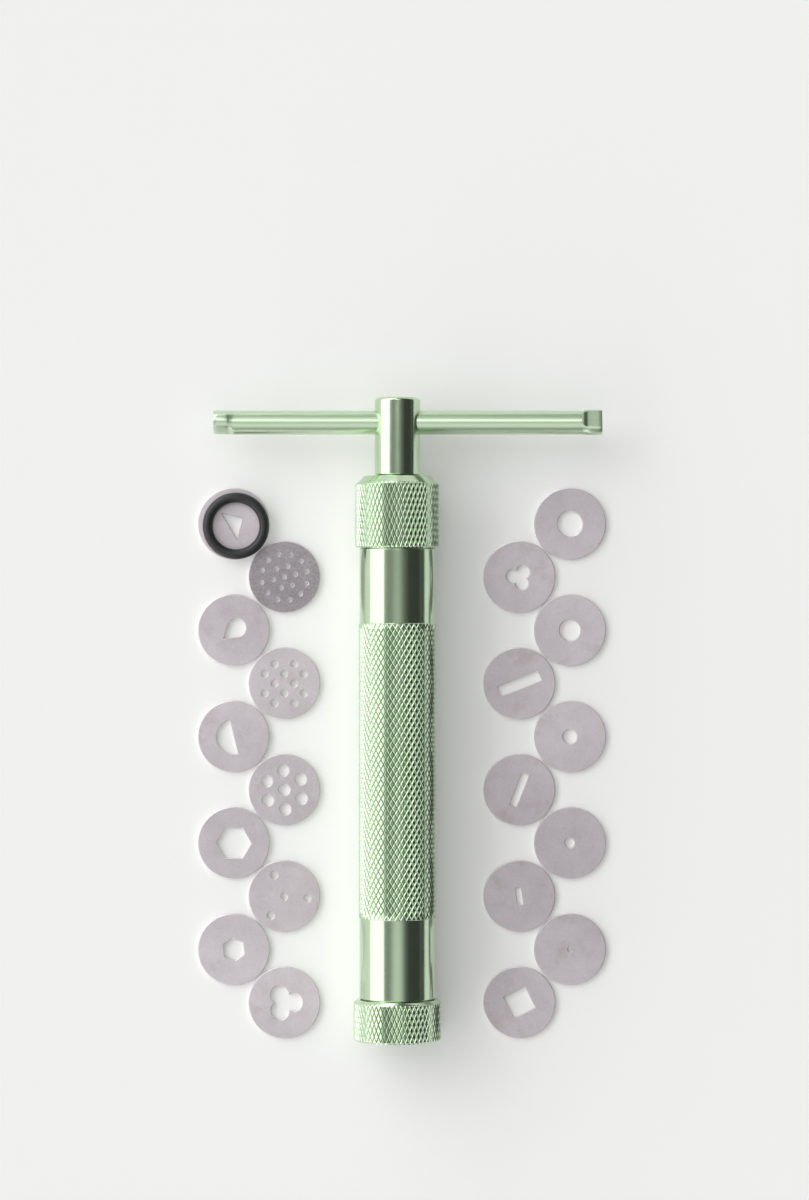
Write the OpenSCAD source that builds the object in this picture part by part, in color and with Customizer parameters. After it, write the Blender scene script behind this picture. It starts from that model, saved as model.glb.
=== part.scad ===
// Clay extruder: a screw-driven press with a sliding T-bar, lying on a table with its loose
// die discs on both sides and its sealing ring on one of them. Millimetres.
// The barrel's axis is +Y, towards the handle. The origin is the centre of the outlet in the
// end cap's front face. The T-bar lies along X and +Z is up.

/* [Die discs] */
// Diameter of every die disc, which sets the caps and the barrel
disc_d = 19.05; // [17:0.05:24]
// Thickness of every die disc
disc_t = 1.2; // [0.8:0.1:2]
// Chamfer on both rims of a die disc
disc_chamfer = 0.2; // [0.1:0.05:0.35]
// Radial clearance of a die disc in the end cap
disc_clearance = 0.175; // [0.05:0.025:0.4]

/* [Sealing ring] */
// Thickness of the ring's round section
ring_section = 2.6; // [1.5:0.1:3.5]
// Inside diameter of the ring
ring_id = 12.4; // [10:0.1:15]
// Share of the section that the barrel presses flat when the ring is fitted
ring_squeeze = 0.2; // [0.1:0.05:0.3]
// Gap under the ring where it lies on a disc
ring_gap = 0.05; // [0.02:0.01:0.2]
// Sideways place of the ring on its disc
ring_offset_x = 0.66; // [-1.5:0.02:1.5]
// Lengthwise place of the ring on its disc
ring_offset_y = -0.6; // [-1.5:0.02:1.5]

/* [Barrel] */
// Wall of the threaded spigots at the barrel's ends
spigot_wall = 2.3; // [1.5:0.1:3]
// Step from a spigot out to the barrel's outside
barrel_step = 0.5; // [0.3:0.1:1.2]
// Length of the barrel's outside between the caps
barrel_len = 118; // [110:0.5:160]
// Length of the threaded spigot inside the end cap
end_spigot_len = 5.4; // [4:0.2:10]
// Length of the threaded spigot inside the top cap
top_spigot_len = 11; // [8:0.5:16]
// Smooth stretch between the end cap and the knurled grip
grip_start = 21.2; // [5:0.2:25]
// Length of the knurled grip
grip_len = 77.2; // [40:0.2:82]
// Height that the knurl stands proud of the smooth barrel
grip_rise = 0.12; // [0.05:0.01:0.3]
// Chamfer on the barrel's edges
barrel_chamfer = 0.3; // [0.1:0.05:0.4]
// Radial clearance between a spigot's thread and its cap
thread_clearance = 0.2; // [0.1:0.05:0.4]
// Gap between a cap's rim and the barrel's shoulder
seat_gap = 0.1; // [0.05:0.05:0.3]

/* [End cap] */
// Wall of the end cap round its thread
end_cap_wall = 1.8; // [1.2:0.1:3]
// Thickness of the lip that carries a die disc
lip_t = 2; // [1.2:0.1:4]
// Length of the smooth slope behind the end cap's knurl
end_cap_slope = 0.9; // [0.4:0.1:1.1]
// Chamfer round the front of the end cap
end_cap_chamfer = 0.4; // [0.2:0.1:0.8]

/* [Top cap] */
// Wall of the top cap round its thread
top_cap_wall = 1.3; // [1.2:0.1:3]
// Length of the thread that the feed screw runs in
nut_len = 7.6; // [6:0.1:14]
// Gap between the barrel's end and the floor of the top cap
nut_gap = 0.3; // [0.1:0.1:1]
// Length of the smooth slope at the top of the top cap
top_cap_slope = 2.2; // [1:0.1:3]
// Chamfer round the lower rim of the top cap
top_cap_chamfer = 0.4; // [0.2:0.1:0.8]

/* [Feed screw] */
// Outside diameter of the feed screw's thread
screw_d = 10; // [8:0.1:11]
// Radial clearance of the feed screw in the top cap
screw_clearance = 0.1; // [0.05:0.01:0.3]
// Chamfer at the lower end of the screw's thread
screw_chamfer = 0.8; // [0.3:0.1:1]
// Diameter of the journal that turns in the plunger
journal_d = 6; // [5:0.1:7]
// Diameter of the tenon that is fixed in the head
tenon_d = 7; // [5:0.1:7.5]
// Length of the tenon that is fixed in the head
tenon_len = 8; // [5:0.5:9]
// Radial clearance of the tenon and of the plunger screw in their holes
fixed_clearance = 0.02; // [0.01:0.01:0.05]

/* [Plunger] */
// Length of the plunger
plunger_len = 8; // [6:0.5:14]
// Radial clearance of the plunger in the barrel
plunger_clearance = 0.15; // [0.05:0.05:0.4]
// Chamfer on the plunger's rims
plunger_chamfer = 0.4; // [0.2:0.1:0.8]
// Distance from the barrel's end to the plunger when it is screwed right down
plunger_rest = 1.5; // [0.5:0.1:5]
// Clearance that lets the journal turn in the plunger
journal_clearance = 0.05; // [0.02:0.01:0.1]
// End play of the plunger on the journal
journal_play = 0.1; // [0.05:0.05:0.3]

/* [Plunger screw] */
// Diameter of the screw's head
retainer_head_d = 9; // [8:0.1:10]
// Height of the screw's head
retainer_head_t = 2.6; // [2:0.1:4]
// Diameter of the screw's shank
retainer_d = 3; // [2.5:0.1:4]
// Length of the screw's shank
retainer_len = 12; // [8:0.5:20]
// Width of the slot in the screw's head
retainer_slot_w = 1.2; // [0.8:0.1:2]
// Depth of the slot in the screw's head
retainer_slot_t = 1; // [0.5:0.1:1.5]

/* [Head] */
// Diameter of the screw's head
head_d = 12; // [11:0.1:16]
// Length of the screw's head
head_len = 20.2; // [18:0.1:30]
// Chamfer round the top of the head
head_chamfer = 0.6; // [0.2:0.1:1]
// Gap between the head and the top cap when the screw is right down
head_gap = 0.3; // [0.1:0.1:1]
// Metal between the top of the head and the T-bar
head_cover = 3.35; // [2:0.05:6]

/* [T-bar] */
// Diameter of the T-bar
bar_d = 6.3; // [4:0.05:7]
// Length of the T-bar
bar_len = 101.8; // [80:0.2:140]
// Radial clearance of the T-bar in the head
bar_clearance = 0.1; // [0.05:0.01:0.2]
// How far the T-bar is pushed through the head at rest
bar_shift = 2.7; // [-10:0.1:10]
// Turn of the T-bar about its own axis at rest
bar_roll = -23; // [-90:1:90]
// Depth of the flat that is pressed into each end of the T-bar
flat_depth = 0.9; // [0.4:0.1:1.4]
// Length of each pressed flat
flat_len = 5.8; // [4:0.1:9]
// Radius where a flat runs out into the bar
flat_runout = 2.2; // [1:0.1:3]
// Sideways bulge of the metal beside each flat
flat_bulge = 0.3; // [0.2:0.05:0.5]

/* [Layout of the discs] */
// Place of the layout's middle beside the barrel's axis
layout_x = 1.15; // [-3:0.05:3]
// Distance from the layout's middle to its outer columns
outer_column_x = 44.55; // [42:0.05:60]
// Sideways step between the outer and inner columns
column_step = 13.4; // [8:0.1:16]
// Gap between neighbouring discs
disc_gap = 0.4; // [0.1:0.1:3]
// Place of the first row along the barrel
first_row_y = 135.4; // [120:0.1:140]

/* [Round dies] */
// Diameter of the largest round hole
round_largest_d = 6.7; // [5:0.1:9]
// Diameter of the large round hole
round_large_d = 5.6; // [4:0.1:8]
// Diameter of the medium round hole
round_medium_d = 3.8; // [3:0.1:6]
// Diameter of the small round hole
round_small_d = 2.6; // [2:0.1:4]
// Diameter of the smallest round hole
round_smallest_d = 1.1; // [0.8:0.1:2]

/* [Slotted and angular dies] */
// Length of the long slot
slot_long_len = 11.6; // [8:0.1:13]
// Width of the long slot
slot_long_w = 2.8; // [1:0.1:4]
// Length of the medium slot
slot_medium_len = 9.2; // [6:0.1:12]
// Width of the medium slot
slot_medium_w = 2; // [1:0.1:4]
// Length of the short slot
slot_short_len = 4.6; // [3:0.1:8]
// Width of the short slot
slot_short_w = 1.5; // [0.8:0.1:3]
// Side of the square
square_side = 6.2; // [4:0.1:9]
// Size across the corners of the large hexagon
hexagon_large_d = 9.2; // [7:0.1:12]
// Size across the corners of the small hexagon
hexagon_small_d = 6.1; // [4:0.1:8]
// Length of each short side of the right-angled triangle
triangle_leg = 5.8; // [4:0.1:8]

/* [Curved dies] */
// Radius of the half-round
half_round_r = 4.6; // [3:0.1:6]
// Radius of the teardrop's round end
teardrop_r = 2.4; // [1.5:0.1:3]
// Distance from the middle of the teardrop's round end to its tip
teardrop_reach = 4.5; // [3.5:0.1:6]
// Radius of each lobe of the large trefoil
trefoil_large_r = 2.4; // [1.5:0.1:3]
// Radius of each lobe of the small trefoil
trefoil_small_r = 1.75; // [1:0.05:2.4]

/* [Dies with several holes] */
// Diameter of the nineteen fine holes
fine_hole_d = 1; // [0.6:0.1:1.4]
// Radius of the inner ring of fine holes
fine_inner_r = 3; // [2:0.1:4]
// Radius of the outer ring of fine holes
fine_outer_r = 6.15; // [5:0.05:6.4]
// Diameter of the twelve holes
twelve_hole_d = 1.8; // [1:0.1:2.4]
// Half the distance between the twelve holes in a row
twelve_hole_step = 2.6; // [1.8:0.1:2.8]
// Diameter of the seven holes
seven_hole_d = 3; // [2:0.1:3.6]
// Radius of the ring of six holes
seven_hole_r = 5.15; // [4:0.05:5.3]
// Diameter of the four holes
four_hole_d = 1.85; // [1:0.05:2.4]
// Radius of the ring of three holes
four_hole_r = 6.2; // [3:0.1:6.2]

/* [Hidden] */
$fn = 96;

// Overshoot of every cut past the face that it opens
cut = 1;

// Two sides of the layout
LEFT = -1;
RIGHT = 1;
rows = 10;

// Turn of each disc where it lies, row by row, in degrees
left_turns = [165.5, 13.5, 40, 0, 13, 33, -1.5, -5, 37, 2];
right_turns = [0, 53, 0, 21.7, 0, 68.5, 0, 98, 0, 26.4];

// Diameters that follow from the die disc
cap_bore_d = disc_d + 2 * disc_clearance;
spigot_d = cap_bore_d - 2 * thread_clearance;
bore_d = spigot_d - 2 * spigot_wall;
barrel_d = spigot_d + 2 * barrel_step;
grip_d = barrel_d + 2 * grip_rise;
end_cap_d = cap_bore_d + 2 * end_cap_wall;
top_cap_d = cap_bore_d + 2 * top_cap_wall;
plunger_d = bore_d - 2 * plunger_clearance;
table_z = -max(end_cap_d, top_cap_d) / 2;

// Places along the barrel's axis
barrel_y = lip_t + disc_t + ring_section * (1 - ring_squeeze);
end_cap_len = barrel_y + end_spigot_len;
shoulder_y = end_cap_len + seat_gap;
grip_y = shoulder_y + grip_start;
top_shoulder_y = shoulder_y + barrel_len;
barrel_top_y = top_shoulder_y + top_spigot_len;
top_cap_y = top_shoulder_y + seat_gap;
nut_y = barrel_top_y + nut_gap;
top_cap_top_y = nut_y + nut_len;
head_y = top_cap_top_y + head_gap;
head_top_y = head_y + head_len;
bar_y = head_top_y - head_cover - bar_d / 2;
plunger_y = barrel_y + plunger_rest;
plunger_top_y = plunger_y + plunger_len;
journal_y = plunger_y + retainer_head_t;
collar_y = journal_y + journal_play;
thread_y = plunger_top_y + journal_play;

row_pitch = sqrt(pow(disc_d + disc_gap, 2) - pow(column_step, 2));
ring_od = ring_id + 2 * ring_section;

// Colours
anodised = "#b9cfb2";
bright_steel = "#c9c5c9";
plain_steel = "#a9abad";
black_rubber = "#1b1b1d";

// A solid turned about the barrel's axis, from a profile of [radius, y] points
module turned(profile) rotate([-90, 0, 0]) rotate_extrude() polygon(profile);

// A round bar or hole along the barrel's axis
module axial(d, y0, y1) translate([0, y0, 0]) rotate([-90, 0, 0]) cylinder(d = d, h = y1 - y0);

// Half of the barrel's outside: a spigot, its shoulder and the smooth stretch up to the grip.
// The points run from the spigot's end face to the grip, and dir is +1 or -1 along the axis.
function barrel_end(end_y, edge_y, grip_edge_y, dir) = [
    [0, end_y],
    [spigot_d / 2 - barrel_chamfer, end_y],
    [spigot_d / 2, end_y + dir * barrel_chamfer],
    [spigot_d / 2, edge_y],
    [barrel_d / 2 - barrel_chamfer, edge_y],
    [barrel_d / 2, edge_y + dir * barrel_chamfer],
    [barrel_d / 2, grip_edge_y],
    [grip_d / 2, grip_edge_y + dir * grip_rise]
];

function reversed(list) = [for (i = [len(list) - 1 : -1 : 0]) list[i]];

module barrel() color(anodised) difference() {
    turned(concat(
        barrel_end(barrel_y, shoulder_y, grip_y, 1),
        reversed(barrel_end(barrel_top_y, top_shoulder_y, grip_y + grip_len, -1))
    ));
    axial(bore_d, barrel_y - cut, barrel_top_y + cut);
}

// The end cap screws on over a die disc and the sealing ring
module end_cap() color(anodised) difference() {
    turned([
        [0, 0],
        [end_cap_d / 2 - end_cap_chamfer, 0],
        [end_cap_d / 2, end_cap_chamfer],
        [end_cap_d / 2, end_cap_len - end_cap_slope],
        [end_cap_d / 2 - end_cap_slope, end_cap_len],
        [0, end_cap_len]
    ]);
    axial(bore_d, -cut, lip_t + cut);
    axial(cap_bore_d, lip_t, end_cap_len + cut);
}

// The top cap closes the barrel and is the nut of the feed screw
module top_cap() color(anodised) difference() {
    turned([
        [0, top_cap_y],
        [top_cap_d / 2 - top_cap_chamfer, top_cap_y],
        [top_cap_d / 2, top_cap_y + top_cap_chamfer],
        [top_cap_d / 2, top_cap_top_y - top_cap_slope],
        [top_cap_d / 2 - top_cap_slope, top_cap_top_y],
        [0, top_cap_top_y]
    ]);
    axial(cap_bore_d, top_cap_y - cut, nut_y);
    axial(screw_d + 2 * screw_clearance, nut_y - cut, top_cap_top_y + cut);
}

// The feed screw: a journal for the plunger, the thread, and a tenon in the head
module feed_screw() color(plain_steel) difference() {
    turned([
        [0, collar_y],
        [journal_d / 2, collar_y],
        [journal_d / 2, thread_y],
        [screw_d / 2 - screw_chamfer, thread_y],
        [screw_d / 2, thread_y + screw_chamfer],
        [screw_d / 2, head_y],
        [tenon_d / 2, head_y],
        [tenon_d / 2, head_y + tenon_len],
        [0, head_y + tenon_len]
    ]);
    axial(retainer_d + 2 * fixed_clearance, collar_y - cut, journal_y + retainer_len + cut);
}

// The head is cross-drilled for the T-bar
module screw_head() color(anodised) difference() {
    turned([
        [0, head_y],
        [head_d / 2, head_y],
        [head_d / 2, head_top_y - head_chamfer],
        [head_d / 2 - head_chamfer, head_top_y],
        [0, head_top_y]
    ]);
    axial(tenon_d + 2 * fixed_clearance, head_y - cut, head_y + tenon_len + fixed_clearance);
    translate([-head_d / 2 - cut, bar_y, 0]) rotate([0, 90, 0])
        cylinder(d = bar_d + 2 * bar_clearance, h = head_d + 2 * cut);
}

// One end of the T-bar, from its end face inwards along +X, with the flat facing +Z
module bar_end() {
    flat_z = bar_d / 2 - flat_depth;
    inner_x = flat_len - flat_runout;
    difference() {
        union() {
            rotate([0, 90, 0]) cylinder(d = bar_d, h = flat_len);
            intersection() {
                rotate([0, 90, 0]) cylinder(d = bar_d + 2 * flat_bulge, h = inner_x);
                translate([0, -bar_d, -flat_z]) cube([inner_x, 2 * bar_d, 2 * flat_z]);
            }
            intersection() {
                translate([inner_x, 0, 0]) rotate([0, 90, 0])
                    cylinder(d1 = bar_d + 2 * flat_bulge, d2 = bar_d, h = flat_runout);
                translate([inner_x, -bar_d, -flat_z]) cube([flat_runout, 2 * bar_d, 2 * flat_z]);
            }
        }
        translate([-cut, -bar_d, flat_z]) cube([inner_x + cut, 2 * bar_d, bar_d]);
        translate([inner_x, -bar_d, flat_z + flat_runout]) rotate([-90, 0, 0])
            cylinder(r = flat_runout, h = 2 * bar_d);
    }
}

// The T-bar slides in the head, and its pressed ends keep it there
module handle_bar() color(anodised) translate([bar_shift, bar_y, 0]) rotate([bar_roll, 0, 0]) {
    translate([-bar_len / 2 + flat_len, 0, 0]) rotate([0, 90, 0])
        cylinder(d = bar_d, h = bar_len - 2 * flat_len);
    translate([-bar_len / 2, 0, 0]) rotate([90, 0, 0]) bar_end();
    translate([bar_len / 2, 0, 0]) mirror([1, 0, 0]) bar_end();
}

// The plunger turns freely on the feed screw's journal
module plunger() color(plain_steel) difference() {
    turned([
        [0, plunger_y],
        [plunger_d / 2 - plunger_chamfer, plunger_y],
        [plunger_d / 2, plunger_y + plunger_chamfer],
        [plunger_d / 2, plunger_top_y - plunger_chamfer],
        [plunger_d / 2 - plunger_chamfer, plunger_top_y],
        [0, plunger_top_y]
    ]);
    axial(journal_d + 2 * journal_clearance, plunger_y - cut, plunger_top_y + cut);
    axial(retainer_head_d + 2 * journal_clearance, plunger_y - cut, collar_y + journal_play);
}

// The slotted screw that holds the plunger on the journal
module plunger_screw() color(plain_steel) difference() {
    union() {
        axial(retainer_head_d, plunger_y, plunger_y + retainer_head_t);
        axial(retainer_d, plunger_y, journal_y + retainer_len);
    }
    translate([-retainer_head_d / 2 - cut, plunger_y - cut, -retainer_slot_w / 2])
        cube([retainer_head_d + 2 * cut, retainer_slot_t + cut, retainer_slot_w]);
}

// Middle of the disc in a row on one side: even rows are outer ones, odd rows inner ones
function disc_place(side, row) = [
    layout_x + side * (outer_column_x - (row % 2) * column_step),
    first_row_y - row * row_pitch,
    table_z
];

// The sealing ring lies on the first disc on the left
module sealing_ring() color(black_rubber)
    translate(disc_place(LEFT, 0))
        translate([ring_offset_x, ring_offset_y, disc_t + ring_gap + ring_section / 2])
            rotate_extrude() translate([(ring_od - ring_section) / 2, 0]) circle(d = ring_section);

module disc_blank() rotate_extrude() polygon([
    [0, 0],
    [disc_d / 2 - disc_chamfer, 0],
    [disc_d / 2, disc_chamfer],
    [disc_d / 2, disc_t - disc_chamfer],
    [disc_d / 2 - disc_chamfer, disc_t],
    [0, disc_t]
]);

// A die disc where it lies on the table, with its children cut through it
module laid_disc(side, row) {
    turn = side == LEFT ? left_turns[row] : right_turns[row];
    color(bright_steel) translate(disc_place(side, row)) rotate([0, 0, turn]) difference() {
        disc_blank();
        translate([0, 0, -cut]) linear_extrude(disc_t + 2 * cut) children();
    }
}

module ring_of_holes(d, r, count)
    for (i = [0 : count - 1]) rotate(i * 360 / count) translate([r, 0]) circle(d = d);

module slot_hole(length, width) square([length, width], center = true);

// A right-angled triangle about its centroid
module triangle_hole(leg) translate([-leg / 3, -leg / 3]) polygon([[0, 0], [leg, 0], [0, leg]]);

module half_round_hole(r) difference() {
    circle(r = r);
    translate([0, -r - cut]) square(2 * r + 2 * cut);
}

// A round end with straight sides that leave it at its tangent points and meet at the tip
module teardrop_hole(r, reach) translate([(reach - r) / 2, 0]) {
    tangent = 180 - acos(r / reach);
    circle(r = r);
    polygon([[-reach, 0], r * [cos(tangent), sin(tangent)], r * [cos(tangent), -sin(tangent)]]);
}

// Three round lobes that meet in the middle
module trefoil_hole(r) ring_of_holes(2 * r, r, 3);

// Every second point of a grid of five rows and columns, so rows of two and three holes take turns
module staggered_holes(d, step)
    for (i = [-2 : 2], j = [-2 : 2])
        if ((i + j) % 2 != 0) translate([i, j] * step) circle(d = d);

module disc_triangle() laid_disc(LEFT, 0) triangle_hole(triangle_leg);
module disc_nineteen_holes() laid_disc(LEFT, 1) {
    circle(d = fine_hole_d);
    ring_of_holes(fine_hole_d, fine_inner_r, 6);
    ring_of_holes(fine_hole_d, fine_outer_r, 12);
}
module disc_teardrop() laid_disc(LEFT, 2) teardrop_hole(teardrop_r, teardrop_reach);
module disc_twelve_holes() laid_disc(LEFT, 3) staggered_holes(twelve_hole_d, twelve_hole_step);
module disc_half_round() laid_disc(LEFT, 4) half_round_hole(half_round_r);
module disc_seven_holes() laid_disc(LEFT, 5) {
    circle(d = seven_hole_d);
    ring_of_holes(seven_hole_d, seven_hole_r, 6);
}
module disc_large_hexagon() laid_disc(LEFT, 6) circle(d = hexagon_large_d, $fn = 6);
module disc_four_holes() laid_disc(LEFT, 7) {
    circle(d = four_hole_d);
    ring_of_holes(four_hole_d, four_hole_r, 3);
}
module disc_small_hexagon() laid_disc(LEFT, 8) circle(d = hexagon_small_d, $fn = 6);
module disc_large_trefoil() laid_disc(LEFT, 9) trefoil_hole(trefoil_large_r);

module disc_largest_round() laid_disc(RIGHT, 0) circle(d = round_largest_d);
module disc_small_trefoil() laid_disc(RIGHT, 1) trefoil_hole(trefoil_small_r);
module disc_large_round() laid_disc(RIGHT, 2) circle(d = round_large_d);
module disc_long_slot() laid_disc(RIGHT, 3) slot_hole(slot_long_len, slot_long_w);
module disc_medium_round() laid_disc(RIGHT, 4) circle(d = round_medium_d);
module disc_medium_slot() laid_disc(RIGHT, 5) slot_hole(slot_medium_len, slot_medium_w);
module disc_small_round() laid_disc(RIGHT, 6) circle(d = round_small_d);
module disc_short_slot() laid_disc(RIGHT, 7) slot_hole(slot_short_len, slot_short_w);
module disc_smallest_round() laid_disc(RIGHT, 8) circle(d = round_smallest_d);
module disc_square() laid_disc(RIGHT, 9) slot_hole(square_side, square_side);

barrel();
end_cap();
top_cap();
feed_screw();
screw_head();
handle_bar();
plunger();
plunger_screw();
sealing_ring();
disc_triangle();
disc_nineteen_holes();
disc_teardrop();
disc_twelve_holes();
disc_half_round();
disc_seven_holes();
disc_large_hexagon();
disc_four_holes();
disc_small_hexagon();
disc_large_trefoil();
disc_largest_round();
disc_small_trefoil();
disc_large_round();
disc_long_slot();
disc_medium_round();
disc_medium_slot();
disc_small_round();
disc_short_slot();
disc_smallest_round();
disc_square();
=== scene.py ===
# %% [markdown]
# # A hand-cranked clay press with its die discs
#
# The imported CAD model is a fixed frame: it says where every piece is and how it moves. This
# lesson builds the looks around it. Each piece is modelled in metres in that frame, so nothing
# has to be fitted by eye.

# %% Load the frame
import math

import bmesh
import bpy
from mathutils import Matrix, Vector


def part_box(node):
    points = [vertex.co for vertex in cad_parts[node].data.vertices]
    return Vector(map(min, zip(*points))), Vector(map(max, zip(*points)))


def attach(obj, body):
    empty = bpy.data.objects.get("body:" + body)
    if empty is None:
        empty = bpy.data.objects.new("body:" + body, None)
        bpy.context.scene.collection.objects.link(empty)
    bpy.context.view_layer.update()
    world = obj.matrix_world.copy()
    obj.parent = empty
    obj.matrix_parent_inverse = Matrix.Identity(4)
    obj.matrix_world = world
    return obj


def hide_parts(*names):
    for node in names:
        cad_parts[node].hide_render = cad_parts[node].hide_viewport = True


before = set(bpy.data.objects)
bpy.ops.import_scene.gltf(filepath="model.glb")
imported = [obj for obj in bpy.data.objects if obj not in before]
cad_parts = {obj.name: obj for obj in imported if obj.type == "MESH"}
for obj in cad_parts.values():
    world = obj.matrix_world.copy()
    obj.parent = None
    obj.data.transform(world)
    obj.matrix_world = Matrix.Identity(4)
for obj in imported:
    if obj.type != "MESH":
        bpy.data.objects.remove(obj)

MM = 0.001
scene = bpy.context.scene
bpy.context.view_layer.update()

# %% [markdown]
# ## The camera
#
# The photograph looks straight down on the table. A long lens about a metre up gives the same
# weak perspective: the barrel's top is drawn only a little larger than the discs below it. The
# tall side of the picture covers 318 mm of the table, and that sets the focal length.

# %% Place the camera
scene.view_settings.view_transform = "Standard"
table_z = min(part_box(name)[0].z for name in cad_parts)
camera_height = 950 * MM
picture_height = 318.3 * MM
picture_middle = (1.84 * MM, 115.2 * MM)

lens = bpy.data.cameras.new("top_camera")
lens.sensor_fit = "VERTICAL"
lens.sensor_height = 36
lens.lens = lens.sensor_height * camera_height / picture_height
camera = bpy.data.objects.new("top_camera", lens)
camera.location = (*picture_middle, table_z + camera_height)
scene.collection.objects.link(camera)
scene.camera = camera
print("table at", round(table_z / MM, 2), "mm, lens", round(lens.lens, 1), "mm")

# %% [markdown]
# ## One helper for every node
#
# Shader trees and geometry trees are both graphs of nodes. One small function adds a node, sets
# its properties and fills its inputs: an input gets a link when the value is another node's
# socket, and a plain number otherwise. Colours are written as sRGB hex, as in any paint program,
# and Blender wants them linear, so one function converts them.

# %% Node and colour helpers
def add(tree, kind, inputs=None, **settings):
    made = tree.nodes.new(kind)
    for name, value in settings.items():
        setattr(made, name, value)
    for key, value in (inputs or {}).items():
        if isinstance(value, bpy.types.NodeSocket):
            tree.links.new(value, made.inputs[key])
        else:
            made.inputs[key].default_value = value
    return made


def linear(hex_colour):
    channels = [int(hex_colour[i:i + 2], 16) / 255 for i in (1, 3, 5)]
    return [c / 12.92 if c <= 0.04045 else ((c + 0.055) / 1.055) ** 2.4 for c in channels] + [1]


print("mid grey in linear light:", round(linear("#808080")[0], 3))

# %% [markdown]
# ## Light
#
# Polished metal has little colour of its own: it shows the room. The barrel in the photograph
# carries one white band on its left third, a grey middle and a dark right side, so the room has a
# tall softbox on the left, a grey ceiling and an unlit right wall. Lamps could do this, but a
# world that depends only on direction lights every piece alike and has no falloff along the
# table. A colour ramp over the angle round the barrel's axis holds the bands.

# %% Hang the bands of the room
SOFTBOX = 1.8
# Degrees from straight up towards the right wall, and brightness as a share of the softbox
room_bands = [
    (-90, 1.0), (-43, 1.0), (-40, 0.155), (-20, 0.155), (-9, 0.175), (10, 0.15), (24, 0.075),
    (36, 0.032), (70, 0.029), (75, 0.072), (80, 0.04), (90, 0.04),
]
# The walls at both ends of the barrel are brighter, and most so towards the top of the picture
END_WALLS, TOP_WALL = 0.55, 0.2

world = bpy.data.worlds.new("studio")
scene.world = world
world.use_nodes = True
room = world.node_tree
room.nodes.clear()
look = add(room, "ShaderNodeTexCoord").outputs["Generated"]
direction = add(room, "ShaderNodeSeparateXYZ", {0: look})
round_axis = add(room, "ShaderNodeMath", {0: direction.outputs["X"], 1: direction.outputs["Z"]},
                 operation="ARCTAN2")
band_place = add(room, "ShaderNodeMapRange", {
    "Value": round_axis.outputs[0], "From Min": -math.pi / 2, "From Max": math.pi / 2})
bands = add(room, "ShaderNodeValToRGB", {0: band_place.outputs[0]})
stops = bands.color_ramp.elements
for degrees, share in room_bands[1:-1]:
    stops.new((degrees + 90) / 180).color = (share, share, share, 1)
for stop, (degrees, share) in ((stops[0], room_bands[0]), (stops[-1], room_bands[-1])):
    stop.position, stop.color = (degrees + 90) / 180, (share, share, share, 1)

slope = add(room, "ShaderNodeMath", {
    0: direction.outputs["Y"], 1: END_WALLS * SOFTBOX, 2: TOP_WALL * SOFTBOX},
    operation="MULTIPLY_ADD")
slope = add(room, "ShaderNodeMath", {0: direction.outputs["Y"], 1: slope.outputs[0], 2: SOFTBOX},
            operation="MULTIPLY_ADD")
level = add(room, "ShaderNodeMath", {0: bands.outputs[0], 1: slope.outputs[0]},
            operation="MULTIPLY")
print("studio bands:", len(stops))

# %% [markdown]
# ## Lamps overhead
#
# The T-bar lies across the bands, and the bright line along it comes from a round lamp overhead, a
# little towards the top of the picture. A wider and weaker one on the other side fills its lower
# half. In the knurls, the grooves that climb to the right shine more than the others, so two more
# lamps stand towards the top left corner: one for the walls in the middle of the knurl, and one
# for those that face further right. No lamp is brighter than the softbox, because the discs mirror
# them all in views from the side.

# %% Add the lamps to the room
# Degrees of lean from straight up, of heading from the top of the picture towards the left, of the
# outer rim and of the full core, and brightness
overhead_lamps = [(19, 0, 16, 6, 1.8), (27, 180, 32, 6, 0.7), (46, 58, 22, 10, 1.7),
                  (46, 24, 18, 8, 1.4)]

for *angles, brightness in overhead_lamps:
    lean, heading, rim, core = (math.radians(angle) for angle in angles)
    lamp = (-math.sin(lean) * math.sin(heading), math.sin(lean) * math.cos(heading), math.cos(lean))
    towards = add(room, "ShaderNodeVectorMath", {0: look, 1: lamp}, operation="DOT_PRODUCT")
    overhead = add(room, "ShaderNodeMapRange", {
        "Value": towards.outputs["Value"], "From Min": math.cos(rim), "From Max": math.cos(core),
        "To Max": brightness}, interpolation_type="SMOOTHSTEP")
    level = add(room, "ShaderNodeMath", {0: level.outputs[0], 1: overhead.outputs[0]},
                operation="ADD")
add(room, "ShaderNodeOutputWorld", {0: add(room, "ShaderNodeBackground", {
    "Strength": level.outputs[0], "Color": (1, 1, 1, 1)}).outputs[0]})
print("lamps overhead:", len(overhead_lamps))

# %% [markdown]
# ## The floor
#
# A plain pale sheet carries everything. It is a diffuse surface, so it keeps the shadows, and a
# little light of its own for camera, glossy and transmission rays lifts it to the white of a
# studio sweep without adding light to the object.

# %% Lay the floor
FLOOR_LIFT = 0.16
floor_reach = 8.0
floor_z = table_z - 0.02 * MM

paper = bpy.data.materials.new("matt_paper")
paper.use_nodes = True
tree = paper.node_tree
tree.nodes.clear()
path = add(tree, "ShaderNodeLightPath").outputs
seen = add(tree, "ShaderNodeMath", {0: path["Is Camera Ray"], 1: path["Is Glossy Ray"]},
           operation="MAXIMUM")
seen = add(tree, "ShaderNodeMath", {0: seen.outputs[0], 1: path["Is Transmission Ray"]},
           operation="MAXIMUM")
lift = add(tree, "ShaderNodeMath", {0: seen.outputs[0], 1: FLOOR_LIFT}, operation="MULTIPLY")
sheet = add(tree, "ShaderNodeAddShader", {
    0: add(tree, "ShaderNodeBsdfDiffuse", {"Color": linear("#EBEBE9")}).outputs[0],
    1: add(tree, "ShaderNodeEmission", {"Strength": lift.outputs[0]}).outputs[0]})
add(tree, "ShaderNodeOutputMaterial", {0: sheet.outputs[0]})

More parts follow.
